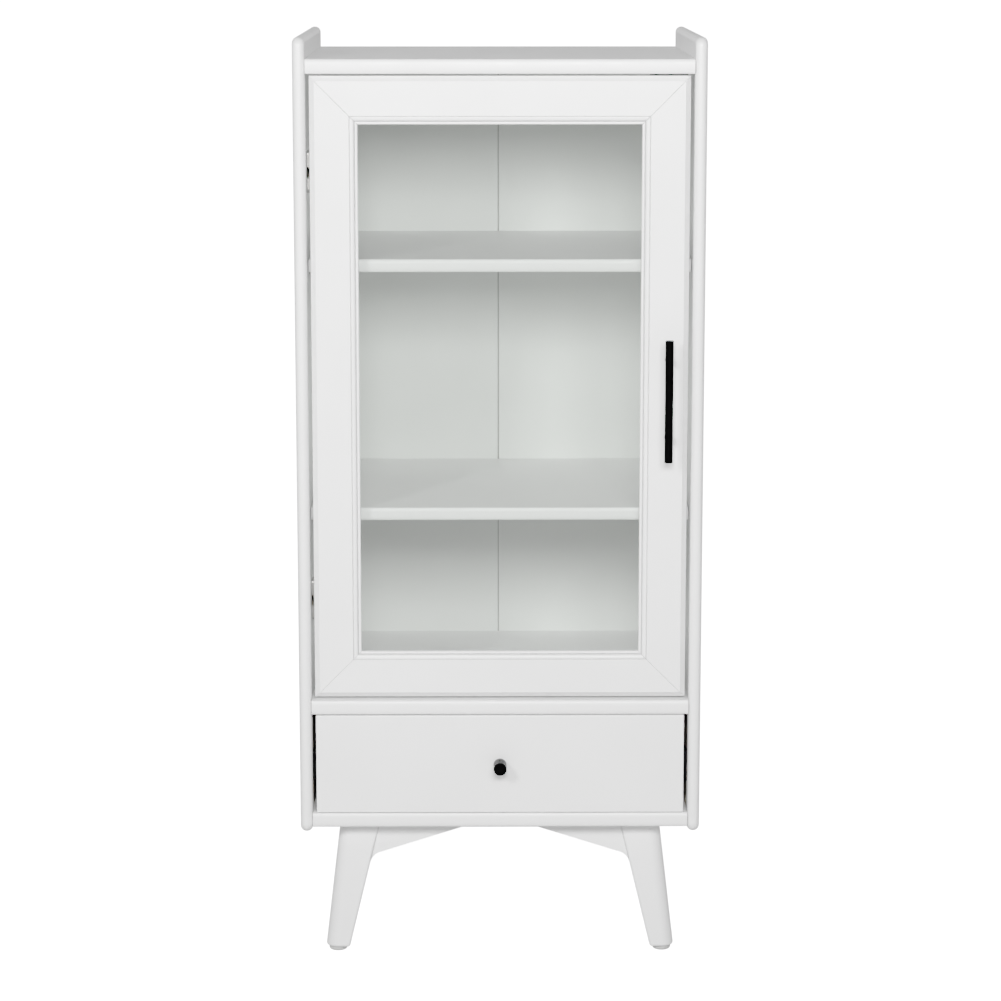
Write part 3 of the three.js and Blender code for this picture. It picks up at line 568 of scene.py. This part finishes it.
def shelf_pins():
    for node in frame["nodes"]:
        if node.startswith("shelf_pin_"):
            low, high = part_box(node)
            inwards = X if low.x < 0 else -X
            start = (low + high) / 2
            start.x = low.x if low.x < 0 else high.x
            length, head = high.x - low.x, (high.z - low.z) / 2
            peg = head - MM
            profile = [
                *arc((peg - 0.5 * MM, 0.5 * MM), 0.5 * MM, -90, 0, 3),
                (peg, PEG_LENGTH),
                *arc((head - 0.4 * MM, PEG_LENGTH + 0.4 * MM), 0.4 * MM, -90, 0, 3),
                *arc((head - MM, length - MM), MM, 0, 90, 4),
            ]
            stand_in(node, turned(profile, start, inwards, 32), NICKEL)


# ---- Base ----------------------------------------------------------------------------------------------

def leg_at(z):
    """Inner, outer, front and rear faces of a leg, from the centre line and from the nearer face."""
    share = z / LEG_HEAD_Z
    return [foot + (head - foot) * share for foot, head in zip(LEG_FOOT, LEG_HEAD)]


def leg_ring(z, inset):
    inner, outer, front, rear = leg_at(z)
    radii = [radius - 0.7 * inset for radius in (LEG_EDGE, LEG_CORNER, LEG_EDGE, LEG_EDGE)]
    outline = rounded_rectangle(inner + inset, front + inset, outer - inset, rear - inset, radii, 10)
    return across("z", outline, z)


def in_corner(row, side, front, back):
    """Puts a piece made for the front right corner, with y from the front plane, in another corner."""
    sign = 1 if side == "right" else -1
    if row == "front":
        return lambda p: Vector((sign * p.x, front + p.y, p.z))
    return lambda p: Vector((sign * p.x, back - p.y, p.z))


def legs():
    front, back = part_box("side_panel_left")[0].y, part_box("side_panel_left")[1].y
    low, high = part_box("leg_front_right")
    rounding = arc((LEG_EASE, low.z + LEG_EASE), LEG_EASE, 270, 180, 6)
    leg = loft([leg_ring(z, inset) for inset, z in rounding] + [leg_ring(high.z, 0)])
    glide_low, glide_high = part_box("glide_front_right")
    centre = (glide_low + glide_high) / 2
    radius = (glide_high.x - glide_low.x) / 2
    place = (centre.x, centre.y - front, 0)
    dome = [
        (GLIDE_SOLE, 0),
        *arc((radius - GLIDE_ROUND, GLIDE_ROUND), GLIDE_ROUND, 290, 360, 6),
        (radius, low.z - GAP),
        (GLIDE_STEM, low.z - GAP),
        (GLIDE_STEM, glide_high.z),
    ]
    bore = turned([(GLIDE_STEM + GAP, low.z - MM), (GLIDE_STEM + GAP, glide_high.z + GAP)], place, Z, 24)
    leg = carved(leg, bore)
    for row in ("front", "rear"):
        for side in ("left", "right"):
            move = in_corner(row, side, front, back)
            stand_in(f"leg_{row}_{side}", placed(leg, move), LACQUER)
            stand_in(f"glide_{row}_{side}", placed(turned(dome, place, Z), move), GLIDE)


def apron_outline(half_at, top):
    """Deep at the legs, sloping straight to a shallow middle. half_at gives half the length at a level."""
    end = half_at(APRON_END_Z)
    middle = end - (APRON_CROWN_Z - APRON_END_Z) / APRON_SLOPE
    tip = APRON_END_Z - APRON_FILLET
    start, corner = (half_at(tip), tip), (end, APRON_END_Z)
    finish = (end - APRON_FILLET, APRON_END_Z + APRON_SLOPE * APRON_FILLET)
    fillet = []
    for i in range(FILLET_STEPS + 1):
        t = i / FILLET_STEPS
        shares = ((1 - t) ** 2, 2 * t * (1 - t), t * t)
        fillet.append(tuple(sum(s * p[k] for s, p in zip(shares, (start, corner, finish))) for k in (0, 1)))
    right = [(half_at(top), top), *fillet, (middle, APRON_CROWN_Z)]
    return right + [(-a, b) for a, b in reversed(right)]


def aprons():
    front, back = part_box("side_panel_left")[0].y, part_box("side_panel_left")[1].y
    half_depth = (back - front) / 2
    for side in ("front", "rear"):
        low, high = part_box(f"apron_{side}")
        outline = apron_outline(lambda z: leg_at(z)[0] - GAP, high.z)
        stand_in(f"apron_{side}", prism("y", outline, low.y, high.y), LACQUER, ease=1.2 * MM)
    for side in ("left", "right"):
        low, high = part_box(f"apron_{side}")
        outline = apron_outline(lambda z: half_depth - leg_at(z)[3] - GAP, high.z)
        outline = [(front + half_depth + a, b) for a, b in outline]
        stand_in(f"apron_{side}", prism("x", outline, low.x, high.x), LACQUER, ease=1.2 * MM)


# ---- Door ----------------------------------------------------------------------------------------------

def frame_section(sight, thickness):
    """The frame's section, inwards from its outer edge and back from its face, in metres.

    A sloped outer edge and a flat, then a groove, an ovolo, a second groove and a bead at the sight edge."""
    wide, deep = FRAME_EDGE
    start = sight - MOULDING_WIDTH
    outer_groove, inner_groove = MOULDING_GROOVES
    return [
        (0, thickness),
        (0, deep + 0.5 * MM),
        (0.45 * MM, deep - 0.4 * MM),
        (wide - 0.2 * MM, SLOPE_STEP),
        (wide, 0),
        (start, 0),
        (start + 0.65 * MM, outer_groove),
        *arc((start + 2.2 * MM, OVOLO[1] + 0.3 * MM), OVOLO, 258, 350, 10),
        (start + 6.4 * MM, inner_groove),
        *arc((sight - SIGHT_BEAD, 2.6 * MM + SIGHT_BEAD), SIGHT_BEAD, 195, 360, 10),
        (sight, GLASS_DEPTH - GAP),
        (sight - GLASS_COVER, GLASS_DEPTH - GAP),
        (sight - GLASS_COVER, thickness),
    ]


def mitred(section, side, low, high):
    """One strip of a rectangular frame inside the frame's box, with a fine V groove at each mitre."""
    rear = max(back for _, back in section)

    def ring(at_end, chamfer):
        points = []
        for inwards, back in section:
            cut_back = inwards + MITRE_GAP + (0 if chamfer else MITRE_GROOVE)
            depth = min(back + (MITRE_GROOVE if chamfer else 0), rear)
            if side in ("left", "right"):
                x = low.x + inwards if side == "left" else high.x - inwards
                z = high.z - cut_back if at_end else low.z + cut_back
            else:
                x = high.x - cut_back if at_end else low.x + cut_back
                z = low.z + inwards if side == "bottom" else high.z - inwards
            points.append(Vector((x, low.y + depth, z)))
        return points
    return loft([ring(False, True), ring(False, False), ring(True, False), ring(True, True)])


def door_box():
    left_low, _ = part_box("door_stile_left")
    _, right_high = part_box("door_stile_right")
    return left_low, right_high


def door_frame():
    low, high = door_box()
    stile_low, stile_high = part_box("door_stile_left")
    section = frame_section(stile_high.x - stile_low.x, high.y - low.y)
    holes = []
    for place in ("lower", "upper"):
        centre = cup_centre(place) - Y * CUP_DEPTH
        holes.append(turned([(CUP_RADIUS + GAP, -GAP), (CUP_RADIUS + GAP, 20 * MM)], centre, Y))
    nodes = {
        "left": "door_stile_left",
        "right": "door_stile_right",
        "top": "door_rail_top",
        "bottom": "door_rail_bottom",
    }
    for side, node in nodes.items():
        strip = mitred(section, side, low, high)
        stand_in(node, carved(strip, *holes) if side == "left" else strip, LACQUER)


def glazing():
    low, high = door_box()
    bead_low, bead_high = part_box("glazing_bead_left")
    front, back = bead_low.y - low.y, bead_high.y - low.y
    outer, inner = bead_low.x - low.x, bead_high.x - low.x
    section = [
        (outer, back),
        (outer, front),
        (inner, front),
        *arc((inner - BEAD_ROUND, back - BEAD_ROUND), BEAD_ROUND, 0, 90, 8),
    ]
    for side in ("left", "right", "top", "bottom"):
        stand_in(f"glazing_bead_{side}", mitred(section, side, low, high), LACQUER)
    frame["nodes"]["door_glass"].data.materials[0] = GLASS


def handle():
    low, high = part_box("handle_bar")
    radius = (high.x - low.x) / 2
    axis = Vector(((low.x + high.x) / 2, (low.y + high.y) / 2, low.z))
    stand_in("handle_bar", turned(rod(radius, high.z - low.z, 0.6 * MM), axis, Z, 64), BLACK)
    saddle = turned([(radius + 0.05 * MM, 0), (radius + 0.05 * MM, high.z - low.z)], axis, Z, 64)
    for place in ("lower", "upper"):
        post_low, post_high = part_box(f"handle_post_{place}")
        post = (post_high.x - post_low.x) / 2
        start = Vector((axis.x, axis.y, (post_low.z + post_high.z) / 2))
        profile = [(post, 0), (post, post_high.y - axis.y)]
        stand_in(f"handle_post_{place}", carved(turned(profile, start, Y), saddle), BLACK)


# ---- Hinges and catch ----------------------------------------------------------------------------------

def screw(origin, direction, radius=SCREW_HEAD):
    """A raised screw head with a cross recess, its rim standing on the origin."""
    crown = [
        (radius, 0),
        *arc((radius - 0.5 * MM, 0.3 * MM), 0.5 * MM, 0, 60, 2),
        *arc((0, -radius * 1.5), (radius * 2.05, radius * 2.05), 66, 88, 5),
    ]
    head = turned(crown, (0, 0, 0), Z, 24)
    long, wide = radius * 0.55, radius * 0.13
    recess = [
        block((-long, -wide, RECESS_FLOOR), (long, wide, CUTTER_TOP)),
        block((-wide, -long, RECESS_FLOOR), (wide, long, CUTTER_TOP)),
    ]
    cross = carved(recess[0], recess[1], operation="UNION")
    turn = Z.rotation_difference(direction)
    return placed(carved(head, cross), lambda p: Vector(origin) + turn @ p)


def cup_centre(place):
    """The middle of a hinge cup, on the door's back face."""
    low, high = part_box(f"hinge_cup_{place}")
    stile_low, stile_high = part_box("door_stile_left")
    return Vector((stile_low.x + CUP_FROM_EDGE, stile_high.y, (low.z + high.z) / 2))


def hinge_cup(place):
    centre = cup_centre(place)
    inside = CUP_RADIUS - CUP_WALL
    shell = turned(
        [
            *arc((CUP_RADIUS - 1.5 * MM, 1.5 * MM - CUP_DEPTH), 1.5 * MM, 270, 360, 5),
            (CUP_RADIUS, CUP_RISE),
            *arc((CUP_RADIUS + CUP_LIP - 0.5 * MM, CUP_RISE + 0.5 * MM), 0.5 * MM, 270, 450, 6),
            *arc((inside + 0.4 * MM, CUP_RISE + 0.6 * MM), 0.4 * MM, 90, 180, 3),
            *arc((inside - MM, CUP_WALL + MM - CUP_DEPTH), MM, 0, -90, 4),
        ],
        centre,
        Y,
        64,
    )
    half_width, half_height, corner = CUP_WING
    outline = rounded_rectangle(-half_width, -half_height, half_width, half_height, [corner] * 4, 8)
    outline = [(centre.x + a, centre.z + b) for a, b in outline]
    wings = prism("y", outline, centre.y + CUP_RISE, centre.y + WING_TOP)
    opening = turned([(CUP_RADIUS - 0.5 * MM, -MM), (CUP_RADIUS - 0.5 * MM, 5 * MM)], centre, Y)
    screws = [screw(centre + Y * WING_TOP + Z * z, Y) for z in (-CUP_SCREWS, CUP_SCREWS)]
    lugs = []
    for z in (-ARM_HEIGHT / 2 - LUG.z - 0.5 * MM, ARM_HEIGHT / 2 + 0.5 * MM):
        lug_low = centre + Vector((1.5 * MM - CUP_RADIUS, CUP_WALL - CUP_DEPTH, z))
        lugs.append(block(lug_low, lug_low + LUG))
    solid = merged(shell, carved(wings, opening), *lugs, *screws)
    stand_in(f"hinge_cup_{place}", solid, NICKEL)


def hinge_arm(place):
    """A goose-neck arm from the pin round the door's edge to its plate on the side panel."""
    pin_low, pin_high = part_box(f"hinge_pin_{place}")
    pin = (pin_low + pin_high) / 2
    inner, outer = ARM_HOOK
    panel = GAP - PIVOT_FROM_PANEL
    start, end = (math.degrees(math.asin(ARM_HALF / radius)) for radius in (outer, inner))
    hook = [
        (0, -ARM_HALF),
        *arc((0, 0), outer, -start, 90, 20),
        (panel, outer),
        (panel, inner),
        *arc((0, 0), inner, 90, end, 20),
        (0, ARM_HALF),
    ]
    hook = [(pin.x + a, pin.y + b) for a, b in hook]
    top, foot = pin.z + ARM_HEIGHT / 2, pin.z - ARM_HEIGHT / 2
    eye = turned(rod(*EYE, 0.3 * MM), pin - Z * EYE[1] / 2, Z, 32)
    width, height, thickness = PLATE_WING
    wing = rounded_rectangle(inner + 8 * MM, -height / 2, inner + 8 * MM + width, height / 2, [5 * MM] * 4, 6)
    wing = [(pin.y + a, pin.z + b) for a, b in wing]
    face = pin.x + panel
    plate = prism("x", wing, face, face + thickness)
    saddle_low = Vector((face, pin.y + inner, foot))
    saddle_high = Vector((face + thickness + 2.5 * MM, pin.y + inner + ARM_LENGTH, top))
    screws = []
    for z in (-PLATE_SCREW, PLATE_SCREW):
        screws.append(screw(Vector((face + thickness, pin.y + inner + 18 * MM, pin.z + z)), X, 4 * MM))
    for y in SADDLE_SCREWS:
        screws.append(screw(Vector((saddle_high.x, pin.y + inner + y, pin.z)), X, 3.2 * MM))
    saddle = block(saddle_low, saddle_high)
    solid = merged(prism("z", hook, foot, top), eye, plate, saddle, *screws)
    stand_in(f"hinge_arm_{place}", solid, NICKEL, ease=0.25 * MM, ease_steps=2)


def hinges():
    for place in ("lower", "upper"):
        hinge_cup(place)
        hinge_arm(place)
        frame["nodes"][f"hinge_pin_{place}"].data.materials[0] = NICKEL


def catch():
    low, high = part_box("magnetic_catch")
    outline = rounded_rectangle(low.x, low.z, high.x, high.z, [2 * MM, 2 * MM, 0.3 * MM, 0.3 * MM], 5)
    stand_in("magnetic_catch", prism("y", outline, low.y + 0.2 * MM, high.y), DARK, ease=0.4 * MM)
    poles = []
    for z in (low.z + 3 * MM, high.z - 5 * MM):
        poles.append(block((low.x + 6 * MM, low.y, z), (high.x - 6 * MM, low.y + MM, z + 2 * MM)))
    add("magnetic_catch_poles", merged(*poles), NICKEL, "root", ease=0.2 * MM)
    low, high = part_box("strike_plate")
    outline = rounded_rectangle(low.x, low.z, high.x, high.z, [MM] * 4, 4)
    plate = prism("y", outline, low.y, high.y)
    sunk = Vector(((low.x + high.x) / 2, high.y - 0.3 * MM, (low.z + high.z) / 2))
    head = screw(sunk, Y, 3 * MM)
    hollow = turned([(3.1 * MM, 0), (3.1 * MM, 5 * MM)], sunk, Y)
    stand_in("strike_plate", merged(carved(plate, hollow), head), NICKEL)


# ---- Drawer --------------------------------------------------------------------------------------------

def drawer_front():
    low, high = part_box("drawer_front")
    stand_in("drawer_front", block(low, high), LACQUER, ease=1.3 * MM, ease_steps=5)


def drawer_box():
    floor_low, floor_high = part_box("drawer_floor")
    for side in ("left", "right"):
        low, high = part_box(f"drawer_side_{side}")
        groove = block(
            (floor_low.x - GAP, low.y - MM, floor_low.z - GAP),
            (floor_high.x + GAP, high.y + MM, floor_high.z + GAP),
        )
        stand_in(f"drawer_side_{side}", carved(block(low, high), groove), PLY_ALONG, ease=0.8 * MM)
    low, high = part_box("drawer_back")
    stand_in("drawer_back", block(low, high), PLY_ACROSS, ease=0.8 * MM)
    frame["nodes"]["drawer_floor"].data.materials[0] = SHEET


def slide_sections(side):
    """Outlines of the cabinet's and the drawer's half of a slide, in x and z."""
    low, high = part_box(f"slide_channel_{side}")
    runner_low, runner_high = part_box(f"drawer_runner_{side}")
    wall, out = (low.x, 1) if side == "left" else (high.x, -1)
    middle, half, depth = (low.z + high.z) / 2, (high.z - low.z) / 2, high.x - low.x
    metal_sheet, lip, play = 1.5 * MM, 6 * MM, 0.8 * MM
    channel = [
        (0, -half),
        (depth, -half),
        (depth, lip - half),
        (depth - metal_sheet, lip - half),
        (depth - metal_sheet, metal_sheet - half),
        (metal_sheet, metal_sheet - half),
    ]
    channel += [(a, -b) for a, b in reversed(channel)]
    head, neck = half - metal_sheet - play, half - lip - play
    reach = max(abs(runner_low.x - wall), abs(runner_high.x - wall))
    bar = [
        (metal_sheet + play, -head),
        (depth - metal_sheet - play, -head),
        (depth - metal_sheet - play, -neck),
        (reach, -neck),
    ]
    bar += [(a, -b) for a, b in reversed(bar)]
    return [[(wall + out * a, middle + b) for a, b in outline] for outline in (channel, bar)]


def slides():
    for side in ("left", "right"):
        for name, outline in zip(("slide_channel", "drawer_runner"), slide_sections(side)):
            low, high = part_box(f"{name}_{side}")
            solid = prism("y", outline, low.y, high.y)
            # The slides' near-black steel is painted shade for the gaps beside the drawer.
            stand_in(f"{name}_{side}", solid, ZINC_IN_PAINTED_SHADE, ease=0.4 * MM, ease_steps=2)


def knob():
    low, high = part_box("drawer_knob")
    start = Vector(((low.x + high.x) / 2, high.y, (low.z + high.z) / 2))
    profile = rod((high.x - low.x) / 2, high.y - low.y, 0.7 * MM)
    stand_in("drawer_knob", turned(profile, start, -Y, 72), BLACK)


side_panels()
boards()
back_sheets()
shelf_pins()
legs()
aprons()
door_frame()
glazing()
handle()
hinges()
catch()
drawer_front()
drawer_box()
slides()
knob()


# ---- Floor, light and camera ---------------------------------------------------------------------------

CAMERA_PLACE = Vector((-0.023, -3.985, 1.281))
CAMERA_TARGET = Vector((0.0006, -0.185, 0.5855))
FOCAL_LENGTH = 112.9  # millimetres
SENSOR_WIDTH = 36  # millimetres
FAR_CLIP = 200
FLOOR_RADIUS = 60
FLOOR_LEVELS = (-0.1, -0.0003)  # underside and top
FLOOR_GREY = (0.6, 0.6, 0.6)
FLOOR_GLOW = 0.95  # where the camera sees it
AIM = Vector((0, -0.18, 0.65))  # the lamps face it
SOFTBOXES = (  # name, place, width and height, power
    ("middle", (0.0, -2.67, 1.55), (0.6, 0.6), 22),
    ("right", (0.57, -2.67, 1.6), (0.35, 0.6), 9),
    ("left", (-1.5, -2.67, 1.8), (0.4, 0.6), 18),
)
SKY_DIM = 0.09  # all round
SKY_GLOW = 0.50  # added low down behind the cabinet
GLOW_DEPTHS = (-0.7, 0.6)  # Y of the direction, from no glow in front to all of it behind
GLOW_HEIGHTS = (0.3, 0.45)  # Z of the direction, from all of the glow to none
TONE_LIFT = 0.5  # exponent of the curve: below 1 it lifts the middle greys
TONE_TOE = (0.05, 1.6)  # brightness under which the blacks deepen, and how steeply
TONE_STOPS = (0.012, 0.03, 0.05, 0.1, 0.16, 0.25, 0.4, 0.6, 0.8)


def pale_floor():
    solid = turned([(FLOOR_RADIUS, level) for level in FLOOR_LEVELS], (0, 0, 0), Z, 96)
    floor = new_object("floor", solid)
    material, tree, shader = new_material("pale_floor")
    shader.inputs["Base Color"].default_value = (*FLOOR_GREY, 1)
    shader.inputs["Roughness"].default_value = 0.9
    shader.inputs["Specular IOR Level"].default_value = 0.1
    shader.inputs["Emission Color"].default_value = (1, 1, 1, 1)
    path = tree.nodes.new("ShaderNodeLightPath")
    glow = spread(tree, path.outputs["Is Camera Ray"], 0, FLOOR_GLOW, 0, 1)
    tree.links.new(glow, shader.inputs["Emission Strength"])
    floor.data.materials.append(material)


def softbox(name, place, size, power):
    """A rectangular lamp that faces the cabinet."""
    light = bpy.data.lights.new(name, "AREA")
    light.shape = "RECTANGLE"
    light.size, light.size_y = size
    light.energy = power
    made = bpy.data.objects.new(name, light)
    made.location = place
    made.rotation_euler = (AIM - Vector(place)).to_track_quat("-Z", "Y").to_euler()
    bpy.context.scene.collection.objects.link(made)


def sky():
    """A dim sky that glows low down behind the cabinet, and plain white where the camera sees it."""
    world = bpy.data.worlds.new("studio")
    bpy.context.scene.world = world
    world.use_nodes = True
    tree = world.node_tree
    background = tree.nodes["Background"]
    direction = axes_of(tree, "Generated")
    behind = spread(tree, direction["Y"], 0, 1, *GLOW_DEPTHS)
    low_down = spread(tree, direction["Z"], SKY_GLOW, 0, *GLOW_HEIGHTS)
    shade = tree.nodes.new("ShaderNodeMath")
    shade.operation = "MULTIPLY_ADD"
    tree.links.new(behind, shade.inputs[0])
    tree.links.new(low_down, shade.inputs[1])
    shade.inputs[2].default_value = SKY_DIM
    tree.links.new(shade.outputs["Value"], background.inputs["Strength"])
    background.inputs["Color"].default_value = (1, 1, 1, 1)
    white = tree.nodes.new("ShaderNodeBackground")
    white.inputs["Color"].default_value = (1, 1, 1, 1)
    path = tree.nodes.new("ShaderNodeLightPath")
    mix = tree.nodes.new("ShaderNodeMixShader")
    tree.links.new(path.outputs["Is Camera Ray"], mix.inputs["Fac"])
    tree.links.new(background.outputs["Background"], mix.inputs[1])
    tree.links.new(white.outputs["Background"], mix.inputs[2])
    tree.links.new(mix.outputs["Shader"], tree.nodes["World Output"].inputs["Surface"])


def camera():
    data = bpy.data.cameras.new("camera")
    data.lens = FOCAL_LENGTH
    data.sensor_width = SENSOR_WIDTH
    data.clip_end = FAR_CLIP
    made = bpy.data.objects.new("camera", data)
    made.location = CAMERA_PLACE
    made.rotation_euler = (CAMERA_TARGET - CAMERA_PLACE).to_track_quat("-Z", "Y").to_euler()
    bpy.context.scene.collection.objects.link(made)
    bpy.context.scene.camera = made


def tone_curve():
    """Deep blacks under lifted greys and softly rolled off whites."""
    settings = bpy.context.scene.view_settings
    settings.view_transform = "Standard"
    settings.use_curve_mapping = True
    curve = settings.curve_mapping.curves[3]
    toe, steepness = TONE_TOE
    for seen in TONE_STOPS:
        curve.points.new(seen, seen**TONE_LIFT * min(1, (seen / toe) ** steepness))
    settings.curve_mapping.update()


pale_floor()
sky()
for lamp in SOFTBOXES:
    softbox(*lamp)
camera()
tone_curve()
